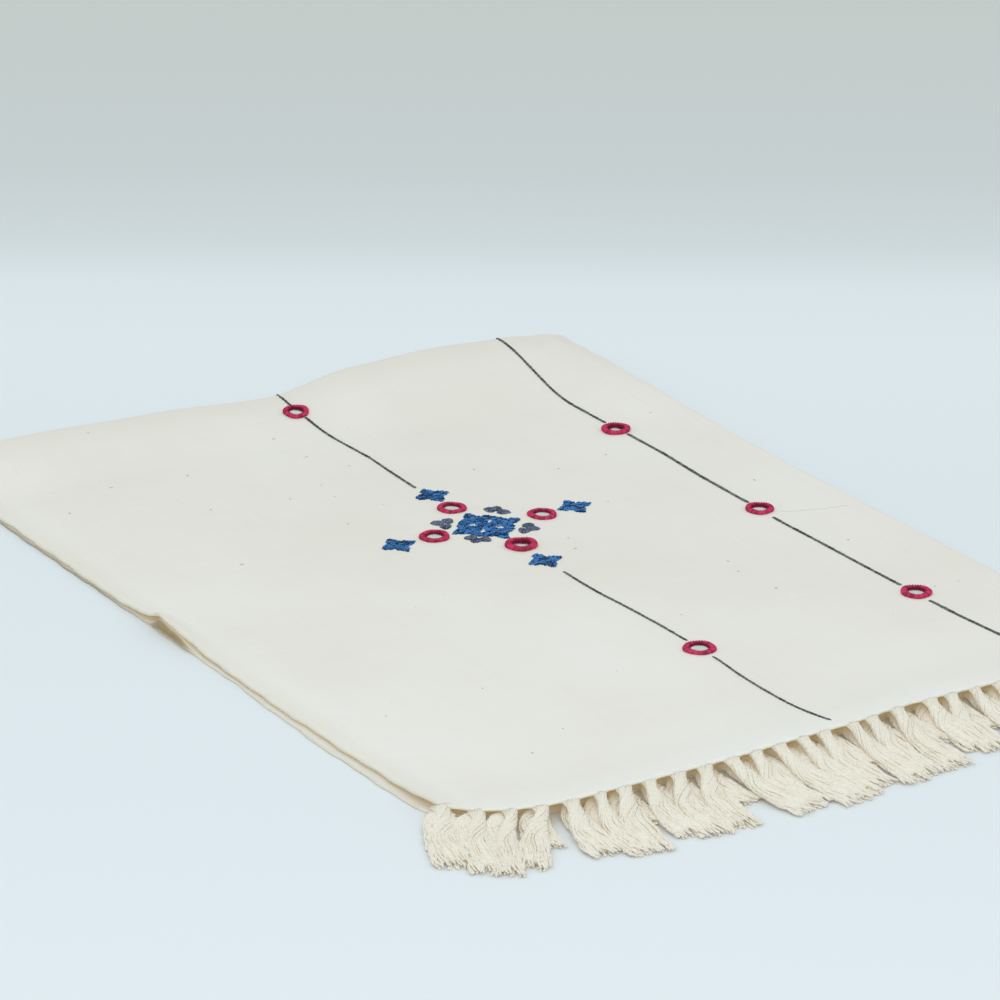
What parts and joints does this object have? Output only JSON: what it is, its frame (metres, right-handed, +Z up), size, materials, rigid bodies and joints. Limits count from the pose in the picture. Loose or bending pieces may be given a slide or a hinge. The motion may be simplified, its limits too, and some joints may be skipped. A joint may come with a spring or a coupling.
{
  "type": "embroidered table runner",
  "caption": "Handloom cotton table runner folded in half, with mirror-work embroidery, stitched lines and knotted tassel fringes along its hems.",
  "frame": {"origin": "on the table, under the middle of the folded runner and its fringes", "axes": "+X along the runner from its fold towards the fringed hems, +Y across its width, +Z up"},
  "size_m": [0.5124, 0.361, 0.02],
  "materials": {
    "cotton_cloth": "unbleached plain-weave handloom cotton",
    "fringe_yarn": "knotted and loose cotton warp yarn",
    "red_thread": "crimson cotton embroidery thread",
    "mirror_glass": "silvered, slightly clouded",
    "blue_thread": "blue cotton embroidery thread, satin stitch",
    "grey_thread": "grey-violet cotton embroidery thread",
    "slate_thread": "slate cotton embroidery thread"
  },
  "bodies": {
    "root": {"cloth": "cotton_cloth", "fringe_upper": "fringe_yarn", "fringe_lower": "fringe_yarn", "ring_1": "red_thread", "ring_2": "red_thread", "ring_3": "red_thread", "ring_4": "red_thread", "ring_5": "red_thread", "ring_6": "red_thread", "ring_7": "red_thread", "ring_8": "red_thread", "ring_9": "red_thread", "mirror_1": "mirror_glass", "mirror_2": "mirror_glass", "mirror_3": "mirror_glass", "mirror_4": "mirror_glass", "mirror_5": "mirror_glass", "mirror_6": "mirror_glass", "mirror_7": "mirror_glass", "mirror_8": "mirror_glass", "mirror_9": "mirror_glass"}
  },
  "joints": []
}
